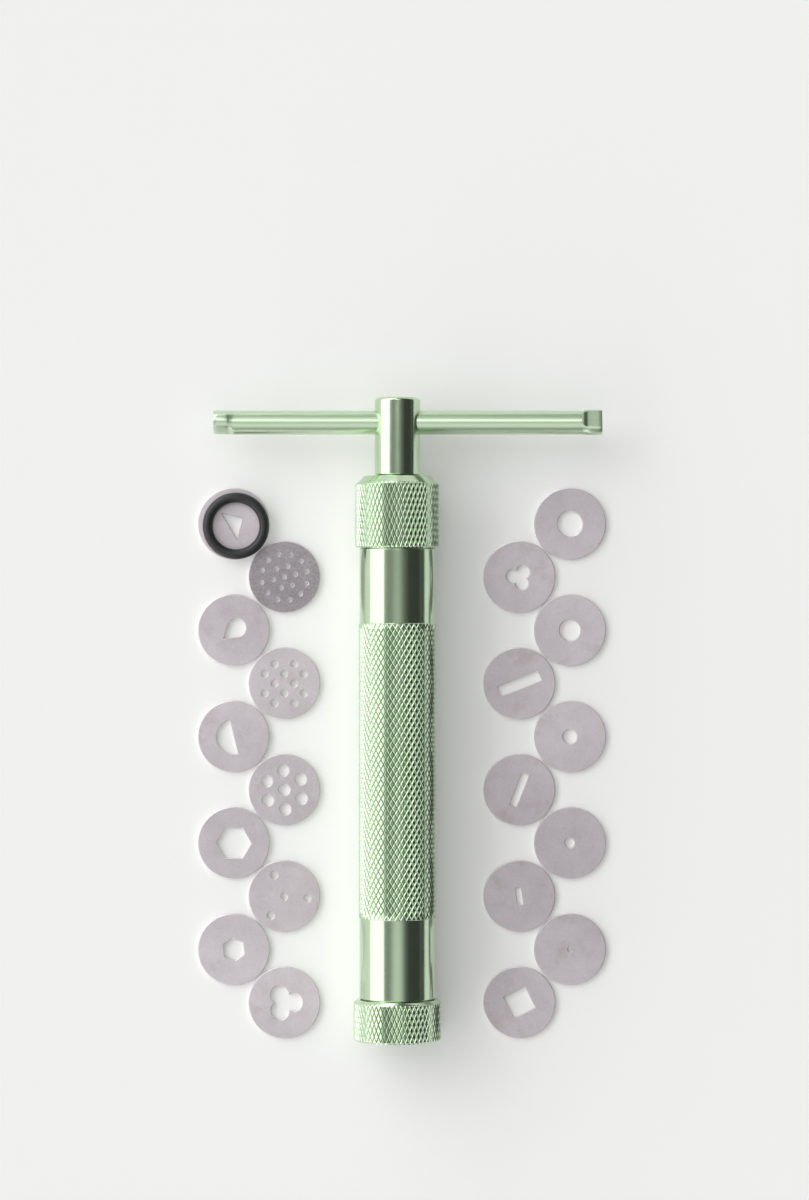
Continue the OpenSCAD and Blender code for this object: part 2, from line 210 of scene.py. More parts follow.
floor_mesh = bpy.data.meshes.new("floor")
floor_mesh.from_pydata([(x * floor_reach, y * floor_reach, floor_z)
                        for x, y in ((-1, -1), (1, -1), (1, 1), (-1, 1))], [], [(0, 1, 2, 3)])
floor_mesh.materials.append(paper)
floor = bpy.data.objects.new("floor", floor_mesh)
scene.collection.objects.link(floor)
print("floor side:", 2 * floor_reach, "m")

# %% [markdown]
# ## Anodised aluminium, turned
#
# The barrel, both caps and the head are turned from aluminium bar and dyed pale green in an
# anodising bath. The oxide is clear and thin, so the eye still sees polished metal: mirror-like
# reflections with a green tint. Dye takes unevenly by a few parts in a hundred, and the lathe
# leaves fine rings across the axis. A real ring is 0.1 mm wide, too fine to show in the render, so
# it is drawn 0.3 mm wide.

# %% Turned finish
METAL, NOT_METAL = 1, 0


def new_finish(name, metallic):
    finish = bpy.data.materials.new(name)
    finish.use_nodes = True
    tree = finish.node_tree
    surface = tree.nodes["Principled BSDF"]
    surface.inputs["Metallic"].default_value = metallic
    return finish, tree, surface, add(tree, "ShaderNodeTexCoord").outputs["Object"]


anodised, tree, surface, where = new_finish("anodised_aluminium_turned", METAL)
cloud = add(tree, "ShaderNodeTexNoise", {"Vector": where, "Scale": 1 / (7 * MM), "Detail": 3})
tint = add(tree, "ShaderNodeMix", {0: cloud.outputs[0], 6: linear("#C3DBBA"), 7: linear("#CFE4C6")},
           data_type="RGBA")
tree.links.new(tint.outputs[2], surface.inputs["Base Color"])
grain = add(tree, "ShaderNodeTexNoise", {"Vector": where, "Scale": 1 / (0.6 * MM), "Detail": 2})
polish = add(tree, "ShaderNodeMapRange", {"Value": grain.outputs[0], "To Min": 0.12, "To Max": 0.2})
tree.links.new(polish.outputs[0], surface.inputs["Roughness"])
along = add(tree, "ShaderNodeSeparateXYZ", {0: where}).outputs["Y"]
rings = add(tree, "ShaderNodeTexNoise", {"W": along, "Scale": 1 / (0.3 * MM), "Detail": 1},
            noise_dimensions="1D")
lathe = add(tree, "ShaderNodeBump", {"Strength": 0.5, "Distance": 0.002 * MM,
                                     "Height": rings.outputs[0]})
tree.links.new(lathe.outputs[0], surface.inputs["Normal"])
print("made", anodised.name)

# %% [markdown]
# ## Anodised aluminium, drawn
#
# The T-bar is cut from drawn rod. Drawing pulls the metal through a die, so its marks run along
# the bar, and the surface is more satin than the turned pieces. The noise is stretched along X: a
# streak is some 15 mm long and 0.25 mm wide.

# %% Drawn finish
drawn, tree, surface, where = new_finish("anodised_aluminium_drawn", METAL)
pulled = add(tree, "ShaderNodeMapping", {
    "Vector": where, "Scale": (1 / (15 * MM), 1 / (0.25 * MM), 1 / (0.25 * MM))})
streak = add(tree, "ShaderNodeTexNoise", {"Vector": pulled.outputs[0], "Scale": 1, "Detail": 2})
tint = add(tree, "ShaderNodeMix", {
    0: streak.outputs[0], 6: linear("#C5DDBC"), 7: linear("#D2E6C9")}, data_type="RGBA")
tree.links.new(tint.outputs[2], surface.inputs["Base Color"])
satin = add(tree, "ShaderNodeMapRange", {
    "Value": streak.outputs[0], "To Min": 0.24, "To Max": 0.36})
tree.links.new(satin.outputs[0], surface.inputs["Roughness"])
scored = add(tree, "ShaderNodeBump", {"Strength": 0.4, "Distance": 0.003 * MM,
                                      "Height": streak.outputs[0]})
tree.links.new(scored.outputs[0], surface.inputs["Normal"])
print("made", drawn.name)

# %% [markdown]
# ## Stainless steel, blanked and tumbled
#
# The die discs are punched from sheet and tumbled to take the burr off. That leaves a matt grey
# with a slight lilac cast, a fine grain, cloudy patches and a few brown smudges from handling, and
# each disc is a little lighter or darker than its neighbour. The tumbling stones reach the edges
# first and burnish them, so those are smoother. Their colour is lighter too, which is partly the
# burnish and partly a painted highlight along the rims: the discs carry an attribute that says
# where. One disc in the photograph is from another batch, darker and coarser, so the finish is
# a function that is called twice. A real grain is 0.1 mm, and it is drawn at 0.55 mm so that it
# shows.

# %% Tumbled finishes
def tumbled_steel(name, dark, light, grit):
    finish, tree, surface, where = new_finish(name, METAL)
    batch = add(tree, "ShaderNodeTexNoise", {"Vector": where, "Scale": 1 / (38 * MM), "Detail": 1})
    patch = add(tree, "ShaderNodeTexNoise", {"Vector": where, "Scale": 1 / (5 * MM), "Detail": 4})
    grain = add(tree, "ShaderNodeTexNoise", {
        "Vector": where, "Scale": 1 / (0.55 * MM), "Detail": 2})
    mottle = add(tree, "ShaderNodeMath", {0: patch.outputs[0], 1: 0.5, 2: batch.outputs[0]},
                 operation="MULTIPLY_ADD")
    mottle = add(tree, "ShaderNodeMath", {0: grain.outputs[0], 1: grit, 2: mottle.outputs[0]},
                 operation="MULTIPLY_ADD")
    tone = add(tree, "ShaderNodeMapRange", {
        "Value": mottle.outputs[0], "From Min": 0.42 + grit / 2, "From Max": 1.08 + grit / 2})
    tint = add(tree, "ShaderNodeMix", {0: tone.outputs[0], 6: linear(dark), 7: linear(light)},
               data_type="RGBA")
    smudge = add(tree, "ShaderNodeTexNoise", {"Vector": where, "Scale": 1 / (8 * MM), "Detail": 6,
                                              "Roughness": 0.65})
    handled = add(tree, "ShaderNodeMapRange", {
        "Value": smudge.outputs[0], "From Min": 0.56, "From Max": 0.74, "To Max": 0.4})
    tint = add(tree, "ShaderNodeMix", {
        0: handled.outputs[0], 6: tint.outputs[2], 7: linear("#B3A199")}, data_type="RGBA")
    # The lighter edge colour below is partly burnish and partly a painted highlight along the rims
    edge = add(tree, "ShaderNodeAttribute", attribute_name="burnish_and_rim_highlight").outputs["Fac"]
    tint = add(tree, "ShaderNodeMix", {0: edge, 6: tint.outputs[2], 7: linear("#E0DADD")},
               data_type="RGBA")
    tree.links.new(tint.outputs[2], surface.inputs["Base Color"])
    matt = add(tree, "ShaderNodeMapRange", {
        "Value": patch.outputs[0], "To Min": 0.51, "To Max": 0.63})
    matt = add(tree, "ShaderNodeMath", {0: edge, 1: -0.2, 2: matt.outputs[0]},
               operation="MULTIPLY_ADD")
    tree.links.new(matt.outputs[0], surface.inputs["Roughness"])
    pitted = add(tree, "ShaderNodeBump", {"Strength": grit, "Distance": 0.02 * MM,
                                          "Height": grain.outputs[0]})
    tree.links.new(pitted.outputs[0], surface.inputs["Normal"])
    print("made", name)
    return finish


tumbled = tumbled_steel("stainless_steel_tumbled", "#C7BFC4", "#E6DFE3", 0.35)
coarse_tumbled = tumbled_steel("stainless_steel_coarse_tumbled", "#9A9399", "#C3BCC1", 0.9)

# %% [markdown]
# ## Steel, plain aluminium and rubber
#
# Three smaller finishes. The feed screw and its small retaining screw are plain cut steel with an
# oily grey shine. The plunger is bare turned aluminium, lighter and duller than the dyed metal,
# with rings round its face. The sealing ring is moulded nitrile rubber: black, half matt, with a
# bloom of fine dust that makes it grey in patches.

# %% Steel, plain aluminium and rubber finishes
steel, tree, surface, where = new_finish("plain_steel_cut", METAL)
film = add(tree, "ShaderNodeTexNoise", {"Vector": where, "Scale": 1 / (4 * MM), "Detail": 3})
tint = add(tree, "ShaderNodeMix", {0: film.outputs[0], 6: linear("#8E9092"), 7: linear("#A9ABAC")},
           data_type="RGBA")
tree.links.new(tint.outputs[2], surface.inputs["Base Color"])
oily = add(tree, "ShaderNodeMapRange", {"Value": film.outputs[0], "To Min": 0.24, "To Max": 0.4})
tree.links.new(oily.outputs[0], surface.inputs["Roughness"])

bare, tree, surface, where = new_finish("plain_aluminium_turned", METAL)
apart = add(tree, "ShaderNodeSeparateXYZ", {0: where})
flat_place = add(tree, "ShaderNodeCombineXYZ", {"X": apart.outputs["X"], "Z": apart.outputs["Z"]})
radius = add(tree, "ShaderNodeVectorMath", {0: flat_place.outputs[0]}, operation="LENGTH")
rings = add(tree, "ShaderNodeTexNoise", {"W": radius.outputs["Value"], "Scale": 1 / (0.3 * MM),
                                         "Detail": 1}, noise_dimensions="1D")
tint = add(tree, "ShaderNodeMix", {0: rings.outputs[0], 6: linear("#B2B3B5"), 7: linear("#C2C3C4")},
           data_type="RGBA")
tree.links.new(tint.outputs[2], surface.inputs["Base Color"])
surface.inputs["Roughness"].default_value = 0.34
faced = add(tree, "ShaderNodeBump", {"Strength": 0.6, "Distance": 0.004 * MM,
                                     "Height": rings.outputs[0]})
tree.links.new(faced.outputs[0], surface.inputs["Normal"])

rubber, tree, surface, where = new_finish("nitrile_rubber_moulded", NOT_METAL)
bloom = add(tree, "ShaderNodeTexNoise", {"Vector": where, "Scale": 1 / (3 * MM), "Detail": 4})
tint = add(tree, "ShaderNodeMix", {0: bloom.outputs[0], 6: linear("#161618"), 7: linear("#2A2A2D")},
           data_type="RGBA")
tree.links.new(tint.outputs[2], surface.inputs["Base Color"])
sheen = add(tree, "ShaderNodeMapRange", {"Value": bloom.outputs[0], "To Min": 0.32, "To Max": 0.5})
tree.links.new(sheen.outputs[0], surface.inputs["Roughness"])
surface.inputs["IOR"].default_value = 1.52
print("made", steel.name, bare.name, rubber.name)

# %% [markdown]
# ## A sheet rolled round an axis
#
# A knurl and a thread are the same kind of thing: a flat pattern wrapped on a cylinder. So both
# trees below make a flat sheet first, whose X is the turn in radians, Y the way along the axis and
# Z a height from 0, the bottom of a groove, to 1, the crest. This shared tree trims the sheet to
# its length, lets the grooves run out towards the ends, rolls it round the Y axis and welds the
# seam. Displacing a finished cylinder would be shorter, but its edges wouldn't follow the grooves.

# %% Trim the sheet
def new_tree(name, inputs):
    tree = bpy.data.node_groups.new(name, "GeometryNodeTree")
    for label, kind in inputs:
        tree.interface.new_socket(label, in_out="INPUT", socket_type="NodeSocket" + kind)
    tree.interface.new_socket("Geometry", in_out="OUTPUT", socket_type="NodeSocketGeometry")
    return tree, tree.nodes.new("NodeGroupInput").outputs


rolled, given = new_tree("rolled_sheet", [
    ("Geometry", "Geometry"), ("Radius", "Float"), ("Depth", "Float"), ("Run Out", "Float"),
    ("Start", "Float"), ("Length", "Float"), ("Material", "Material")])
flat = add(rolled, "ShaderNodeSeparateXYZ", {
    0: add(rolled, "GeometryNodeInputPosition").outputs[0]})
trimmed = add(rolled, "ShaderNodeClamp", {
    "Value": flat.outputs["Y"], "Min": 0.0, "Max": given["Length"]})
cut = add(rolled, "GeometryNodeSetPosition", {
    "Geometry": given["Geometry"],
    "Position": add(rolled, "ShaderNodeCombineXYZ", {
        "X": flat.outputs["X"], "Y": trimmed.outputs[0], "Z": flat.outputs["Z"]}).outputs[0]})

# Faces that the trim has pressed flat against an end go
half_length = add(rolled, "ShaderNodeMath", {0: given["Length"], 1: 0.5}, operation="MULTIPLY")
off_middle = add(rolled, "ShaderNodeMath", {0: flat.outputs["Y"], 1: half_length.outputs[0]},
                 operation="SUBTRACT")
off_middle = add(rolled, "ShaderNodeMath", {0: off_middle.outputs[0]}, operation="ABSOLUTE")
to_end = add(rolled, "ShaderNodeMath", {0: half_length.outputs[0], 1: off_middle.outputs[0]},
             operation="SUBTRACT")
pressed = add(rolled, "ShaderNodeMath", {0: to_end.outputs[0], 1: 0.0001 * MM},
              operation="LESS_THAN")
kept = add(rolled, "GeometryNodeDeleteGeometry", {
    "Geometry": cut.outputs[0], "Selection": pressed.outputs[0]}, domain="FACE")
print("trimming takes", len(rolled.nodes), "nodes")

# %% Roll it and weld the seam
fade = add(rolled, "ShaderNodeMapRange", {
    "Value": to_end.outputs[0], "From Min": -0.005 * MM, "From Max": given["Run Out"]})
groove = add(rolled, "ShaderNodeMath", {0: given["Depth"], 1: fade.outputs[0]},
             operation="MULTIPLY")
sunk = add(rolled, "ShaderNodeMath", {0: flat.outputs["Z"], 1: 1.0}, operation="SUBTRACT")
reach = add(rolled, "ShaderNodeMath", {
    0: sunk.outputs[0], 1: groove.outputs[0], 2: given["Radius"]}, operation="MULTIPLY_ADD")
sine = add(rolled, "ShaderNodeMath", {0: flat.outputs["X"]}, operation="SINE")
cosine = add(rolled, "ShaderNodeMath", {0: flat.outputs["X"]}, operation="COSINE")
bent = add(rolled, "ShaderNodeCombineXYZ", {
    "X": add(rolled, "ShaderNodeMath", {0: reach.outputs[0], 1: sine.outputs[0]},
             operation="MULTIPLY").outputs[0],
    "Y": add(rolled, "ShaderNodeMath", {0: flat.outputs["Y"], 1: given["Start"]},
             operation="ADD").outputs[0],
    "Z": add(rolled, "ShaderNodeMath", {0: reach.outputs[0], 1: cosine.outputs[0]},
             operation="MULTIPLY").outputs[0]})
round_sheet = add(rolled, "GeometryNodeSetPosition", {
    "Geometry": kept.outputs[0], "Position": bent.outputs[0]})
welded = add(rolled, "GeometryNodeMergeByDistance", {
    "Geometry": round_sheet.outputs[0], "Distance": 0.003 * MM})
painted = add(rolled, "GeometryNodeSetMaterial", {
    "Geometry": welded.outputs[0], "Material": given["Material"]})
add(rolled, "NodeGroupOutput", {0: painted.outputs[0]})
print("rolling tree:", len(rolled.nodes), "nodes")

# %% [markdown]
# ## The knurl
#
# A knurl is rolled in by two hardened wheels with slanted teeth. They press two families of
# V-grooves that cross, and the metal between them stands as flat-topped diamonds. One diamond
# stud, a four-sided mesh circle extruded three times, is instanced on a staggered lattice.
# Neighbouring studs share their feet, so the foot lines are the grooves. The walls are steepest at
# the foot, because each slope throws the softbox to the eye on another part of the round.

# %% One diamond stud
knurl, given = new_tree("diamond_knurl", [
    ("Radius", "Float"), ("Start", "Float"), ("Length", "Float"), ("Columns", "Int"),
    ("Rows", "Int"), ("Groove Depth", "Float"), ("Flat Share", "Float"), ("Run Out", "Float"),
    ("Material", "Material")])
half_turn = add(knurl, "ShaderNodeMath", {0: math.pi, 1: given["Columns"]}, operation="DIVIDE")
half_row = add(knurl, "ShaderNodeMath", {0: given["Length"], 1: given["Rows"]}, operation="DIVIDE")

# Each slope's height and the part of the groove's half width that is left above it
wall_slopes = [(0.55, 0.625), (0.29, 0.3), (0.16, 0.0)]
groove = add(knurl, "ShaderNodeMath", {0: 1.0, 1: given["Flat Share"]},
             operation="SUBTRACT").outputs[0]
stud = add(knurl, "GeometryNodeMeshCircle", {"Vertices": 4, "Radius": 1.0}, fill_type="NGON")
upper, below = True, 1.0
for height, left in wall_slopes:
    width = add(knurl, "ShaderNodeMath", {0: groove, 1: left, 2: given["Flat Share"]},
                operation="MULTIPLY_ADD").outputs[0]
    share = add(knurl, "ShaderNodeMath", {0: width, 1: below}, operation="DIVIDE").outputs[0]
    raised = add(knurl, "GeometryNodeExtrudeMesh", {
        "Mesh": stud.outputs[0], "Selection": upper, "Offset": (0, 0, 1), "Offset Scale": height},
        mode="FACES")
    upper, below = raised.outputs["Top"], width
    stud = add(knurl, "GeometryNodeScaleElements", {
        "Geometry": raised.outputs["Mesh"], "Selection": upper, "Scale": share}, domain="FACE")
stud = add(knurl, "GeometryNodeTransform", {
    "Geometry": stud.outputs[0],
    "Scale": add(knurl, "ShaderNodeCombineXYZ", {
        "X": half_turn.outputs[0], "Y": half_row.outputs[0], "Z": 1.0}).outputs[0]})

print("a stud's wall has", len(wall_slopes), "slopes")

# %% Studs on a lattice
def numbered_grid(tree, columns, lines):
    """A grid with the column and the row of each point. Points count up along Y first."""
    grid = add(tree, "GeometryNodeMeshGrid", {"Vertices X": columns, "Vertices Y": lines})
    index = add(tree, "GeometryNodeInputIndex").outputs[0]
    row = add(tree, "ShaderNodeMath", {0: index, 1: lines}, operation="MODULO")
    column = add(tree, "ShaderNodeMath", {0: index, 1: lines}, operation="DIVIDE")
    column = add(tree, "ShaderNodeMath", {0: column.outputs[0]}, operation="FLOOR")
    return grid.outputs["Mesh"], column.outputs[0], row.outputs[0]


def end_tree(tree, given, sheet, depth):
    """The sheet's instances are made real, and the rolling tree wraps it and paints it."""
    solid = add(tree, "GeometryNodeRealizeInstances", {"Geometry": sheet})
    sizes = {label: given[label] for label in ("Radius", "Run Out", "Start", "Length", "Material")}
    sizes.update({"Geometry": solid.outputs[0], "Depth": depth})
    wrapped = add(tree, "GeometryNodeGroup", sizes, node_tree=rolled)
    add(tree, "NodeGroupOutput", {0: wrapped.outputs[0]})
    print(tree.name, "has", len(tree.nodes), "nodes")


# Every second row is half a diamond further round
lines = add(knurl, "ShaderNodeMath", {0: given["Rows"], 1: 1.0}, operation="ADD")
lattice, column, row = numbered_grid(knurl, given["Columns"], lines.outputs[0])
odd = add(knurl, "ShaderNodeMath", {0: row, 1: 2.0}, operation="MODULO")
steps = add(knurl, "ShaderNodeMath", {0: column, 1: 2.0, 2: odd.outputs[0]},
            operation="MULTIPLY_ADD")
seat = add(knurl, "ShaderNodeCombineXYZ", {
    "X": add(knurl, "ShaderNodeMath", {0: steps.outputs[0], 1: half_turn.outputs[0]},
             operation="MULTIPLY").outputs[0],
    "Y": add(knurl, "ShaderNodeMath", {0: row, 1: half_row.outputs[0]},
             operation="MULTIPLY").outputs[0]})
seats = add(knurl, "GeometryNodeSetPosition", {
    "Geometry": lattice, "Position": seat.outputs[0]})
studs = add(knurl, "GeometryNodeInstanceOnPoints", {
    "Points": seats.outputs[0], "Instance": stud.outputs[0]})
end_tree(knurl, given, studs.outputs[0], given["Groove Depth"])

# %% [markdown]
# ## The thread
#
# A thread is a ramp wrapped round a cylinder. The sheet here is a grid whose rows climb by one
# lead in one turn, so every edge follows the helix and the end of a row meets the start of the row
# one lead on. Two rows in four are crest and two are root, which gives flat crests, flat roots and
# flanks of 60 degrees or so. A negative depth cuts the groove outwards, for a nut.

# %% The thread tree
thread, given = new_tree("screw_thread", [
    ("Radius", "Float"), ("Start", "Float"), ("Length", "Float"), ("Lead", "Float"),
    ("Depth", "Float"), ("Segments", "Int"), ("Run Out", "Float"), ("Material", "Material")])
turns = add(thread, "ShaderNodeMath", {0: given["Length"], 1: given["Lead"]}, operation="DIVIDE")
turns = add(thread, "ShaderNodeMath", {0: turns.outputs[0]}, operation="CEIL")
lines = add(thread, "ShaderNodeMath", {0: turns.outputs[0], 1: 4.0, 2: 5.0},
            operation="MULTIPLY_ADD")
around = add(thread, "ShaderNodeMath", {0: given["Segments"], 1: 1.0}, operation="ADD")
ramp, step, row = numbered_grid(thread, around.outputs[0], lines.outputs[0])
turn = add(thread, "ShaderNodeMath", {0: step, 1: given["Segments"]}, operation="DIVIDE")
climb = add(thread, "ShaderNodeMath", {0: row, 1: 0.25, 2: turn.outputs[0]},
            operation="MULTIPLY_ADD")
climb = add(thread, "ShaderNodeMath", {0: climb.outputs[0], 1: 1.0}, operation="SUBTRACT")
phase = add(thread, "ShaderNodeMath", {0: row, 1: 4.0}, operation="MODULO")
sloped = add(thread, "ShaderNodeCombineXYZ", {
    "X": add(thread, "ShaderNodeMath", {0: turn.outputs[0], 1: 2 * math.pi},
             operation="MULTIPLY").outputs[0],
    "Y": add(thread, "ShaderNodeMath", {0: climb.outputs[0], 1: given["Lead"]},
             operation="MULTIPLY").outputs[0],
    "Z": add(thread, "ShaderNodeMath", {0: phase.outputs[0], 1: 1.5},
             operation="GREATER_THAN").outputs[0]})
ramp = add(thread, "GeometryNodeSetPosition", {"Geometry": ramp, "Position": sloped.outputs[0]})
end_tree(thread, given, ramp.outputs[0], given["Depth"])

# %% [markdown]
# ## Running a tree
#
# A tree works as a modifier on an empty mesh. Its sizes are set by socket identifier before
# Blender evaluates it for the first time. The result is then taken as a plain mesh, and the
# carrier object goes, with its modifier.

# %% Run a tree and keep its mesh
def plain_mesh(carrier):
    evaluated = carrier.evaluated_get(bpy.context.evaluated_depsgraph_get())
    mesh = bpy.data.meshes.new_from_object(evaluated)
    bpy.data.objects.remove(carrier)
    return mesh


def grown(tree, name, **sizes):
    carrier = bpy.data.objects.new(name, bpy.data.meshes.new(name))
    scene.collection.objects.link(carrier)
    modifier = carrier.modifiers.new(name, "NODES")
    modifier.node_group = tree
    for socket in tree.interface.items_tree:
        if socket.in_out == "INPUT":
            modifier[socket.identifier] = sizes[socket.name.lower().replace(" ", "_")]
    mesh = plain_mesh(carrier)
    print(name, "has", len(mesh.polygons), "faces")
    return mesh


FLAT_SHARE = 0.62
grip_from, grip_to = 32.10, 109.06
grip_knurl = grown(
    knurl, "grip_knurl", radius=10.12 * MM, start=grip_from * MM,
    length=(grip_to - grip_from) * MM, columns=43, rows=61, groove_depth=0.205 * MM,
    flat_share=FLAT_SHARE, run_out=0.7 * MM, material=anodised)

# %% [markdown]
# ## Turned pieces
#
# The barrel and the caps are lathe work: a profile spun about the axis. The profile is a list of
# radius and place in millimetres, taken from the CAD model's sizes. A third number eases a corner,
# because a lathe hand breaks every edge with a file. A profile that starts off the axis closes on
# itself, as a tube's does.

# %% Ease the corners of a profile
EASE_STEPS = 6


def eased(profile):
    closed = profile[0][0] > 0
    points = []
    for i, corner in enumerate(profile):
        at = Vector(corner[:2])
        if len(corner) == 2 or (not closed and i in (0, len(profile) - 1)):
            points.append(tuple(at))
            continue
        before = Vector(profile[i - 1][:2]) - at
        after = Vector(profile[(i + 1) % len(profile)][:2]) - at
        first, last = at + before.normalized() * corner[2], at + after.normalized() * corner[2]
        for u in (k / EASE_STEPS for k in range(EASE_STEPS + 1)):
            points.append(tuple(first * (1 - u) ** 2 + at * 2 * u * (1 - u) + last * u ** 2))
    return points


tube = eased([(4, 0), (5, 0, 0.2), (5, 9), (4, 9)])
print("a tube with one eased corner has", len(tube), "points in its profile")

# %% [markdown]
# ## Spinning a profile
#
# Blender's own spin would do for a plain blank. Where a knurl or a thread belongs, though, the
# profile has a gap, and the rolled sheet is bridged into it, so that each piece is one closed skin.
# The rings are therefore made one by one here. A point on the axis is one vertex for a whole ring.

# %% Spin a profile
def spun(profile, segments, sheets=()):
    bm = bmesh.new()
    points = eased(profile)
    rings = []
    angles = [2 * math.pi * k / segments for k in range(segments)]
    for r, y in points:
        if r == 0:
            rings.append([bm.verts.new((0, y * MM, 0))] * segments)
            continue
        rings.append([bm.verts.new((r * MM * math.sin(a), y * MM, r * MM * math.cos(a)))
                      for a in angles])
    gaps = {i: sheet for i, point in enumerate(points) for place, sheet in sheets
            if (Vector(point) - Vector(place)).length < 1e-6}
    for i in range(len(points) if points[0][0] else len(points) - 1):
        if i in gaps:
            continue
        one, two = rings[i], rings[(i + 1) % len(points)]
        for k in range(segments):
            n = (k + 1) % segments
            bm.faces.new(list(dict.fromkeys((one[k], one[n], two[n], two[k]))))
    for i, sheet in gaps.items():
        known = set(bm.edges)
        bm.from_mesh(sheet)
        rims = [e for e in bm.edges if e not in known and e.is_boundary]
        middle = sum(e.verts[0].co.y for e in rims) / len(rims)
        for ring in (rings[i], rings[(i + 1) % len(points)]):
            upper = ring[0].co.y > middle
            rim = [e for e in rims if (e.verts[0].co.y > middle) == upper]
            lip = [bm.edges.get((ring[k], ring[(k + 1) % segments])) for k in range(segments)]
            bmesh.ops.bridge_loops(bm, edges=rim + lip)
    bmesh.ops.recalc_face_normals(bm, faces=bm.faces)
    return bm


plain_blank = spun([(0, 0), (5, 0), (5, 9), (0, 9)], 12)
print("a plain blank of 12 segments has", len(plain_blank.faces), "faces")
plain_blank.free()

# %% [markdown]
# ## Shading and handing over
#
# Smooth shading would bend the light on flat faces next to a rounded edge, so a face that is
# square to the piece's axis keeps its own normal, and one on a cylinder gets the cylinder's. A
# finished piece rides on its body, stands for its node and names its material slot.

# %% Shade a piece and hand it over
def finished(bm, name, material, sharp_degrees, axis):
    open_edges = sum(len(e.link_faces) != 2 for e in bm.edges)
    print(name, "has", len(bm.faces), "faces and", open_edges, "open edges")
    mesh = bpy.data.meshes.new(name)
    bm.to_mesh(mesh)
    bm.free()
    mesh.materials.append(material)
    mesh.shade_smooth()
    mesh.set_sharp_from_angle(angle=math.radians(sharp_degrees))
    normals = [corner.vector.copy() for corner in mesh.corner_normals]
    for face in mesh.polygons:
        if abs(face.normal["XYZ".index(axis)]) > 0.99999:
            for corner in face.loop_indices:
                normals[corner] = face.normal.copy()
    mesh.normals_split_custom_set(normals)
    return mesh


def round_shaded(mesh):
    """Faces on a cylinder round the Y axis, such as a knurl's flats, get normals off it."""
    normals = [corner.vector.copy() for corner in mesh.corner_normals]
    for face in mesh.polygons:
        spokes = [Vector((mesh.vertices[v].co.x, 0, mesh.vertices[v].co.z)) for v in face.vertices]
        reach = [spoke.length for spoke in spokes]
        if min(reach) > 0 and max(reach) - min(reach) < 0.001 * MM:
            out = 1 if face.normal.dot(spokes[0]) > 0 else -1
            for corner, spoke in zip(face.loop_indices, spokes):
                normals[corner] = out * spoke.normalized()
    mesh.normals_split_custom_set(normals)
    return mesh


def turned(bm, name, material):
    return round_shaded(finished(bm, name, material, sharp_degrees=20, axis="Y"))


def hand_over(mesh, node, body):
    piece = bpy.data.objects.new(mesh.name, mesh)
    scene.collection.objects.link(piece)
    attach(piece, body)
    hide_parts(node)


# %% [markdown]
# ## The barrel
#
# A tube with a threaded spigot at each end, two smooth stretches and the knurled grip. The grip
# stands a tenth of a millimetre proud, because rolling a knurl raises the metal.

# %% Turn the barrel
fine_thread = dict(lead=1.0 * MM, segments=120, run_out=0.5 * MM, material=anodised)
low_thread = grown(thread, "low_spigot_thread", radius=9.5 * MM, start=5.7 * MM, length=4.6 * MM,
                   depth=0.5 * MM, **fine_thread)
high_thread = grown(thread, "high_spigot_thread", radius=9.5 * MM, start=129.5 * MM,
                    length=9.8 * MM, depth=0.5 * MM, **fine_thread)
barrel = spun([
    (7.2, 5.28, 0.15), (9.2, 5.28), (9.5, 5.58), (9.5, 5.62), (9.5, 10.38), (9.5, 10.78),
    (9.7, 10.78, 0.08), (10.0, 11.08, 0.1), (10.0, 31.98), (10.0, 109.18), (10.0, 128.48, 0.1),
    (9.7, 128.78, 0.08), (9.5, 128.78), (9.5, 129.42), (9.5, 139.38), (9.5, 139.48), (9.2, 139.78),
    (7.2, 139.78, 0.15),
], 172, [((9.5, 5.62), low_thread), ((10.0, 31.98), grip_knurl), ((9.5, 129.42), high_thread)])
hand_over(turned(barrel, "turned_barrel", anodised), "barrel", "barrel")

# %% [markdown]
# ## The caps
#
# The end cap holds a die disc against its lip, and the top cap is the nut of the feed screw. Both
# are knurled to their rims with a taller, steeper diamond than the grip's. The knurl is cut
# through by the turned slope at each rim, so the bridge to the lathe profile starts at the flats
# and ends at the depth of the grooves. Two close rings follow, so that its zigzag doesn't streak
# the shading of the slope. Inside, the thread's groove goes outwards.

# %% Turn the end cap
cap_knurl = dict(columns=57, groove_depth=0.19 * MM, flat_share=FLAT_SHARE, run_out=0.0,
                 material=anodised)
end_knurl = grown(knurl, "end_cap_knurl", radius=11.5 * MM, start=0.4 * MM, length=9.38 * MM,
                  rows=6, **cap_knurl)
end_thread = grown(thread, "end_cap_thread", radius=9.7 * MM, start=5.7 * MM, length=4.5 * MM,
                   depth=-0.5 * MM, **fine_thread)
end_cap = spun([
    (7.2, 0, 0.2), (11.1, 0), (11.1, 10.18), (11.04, 10.24), (10.98, 10.3), (10.6, 10.68, 0.12),
    (9.7, 10.68, 0.2), (9.7, 10.3), (9.7, 5.6), (9.7, 2.0), (7.2, 2.0, 0.15),
], 228, [((11.1, 0), end_knurl), ((9.7, 10.3), end_thread)])
hand_over(turned(end_cap, "knurled_end_cap", anodised), "end_cap", "end_cap")

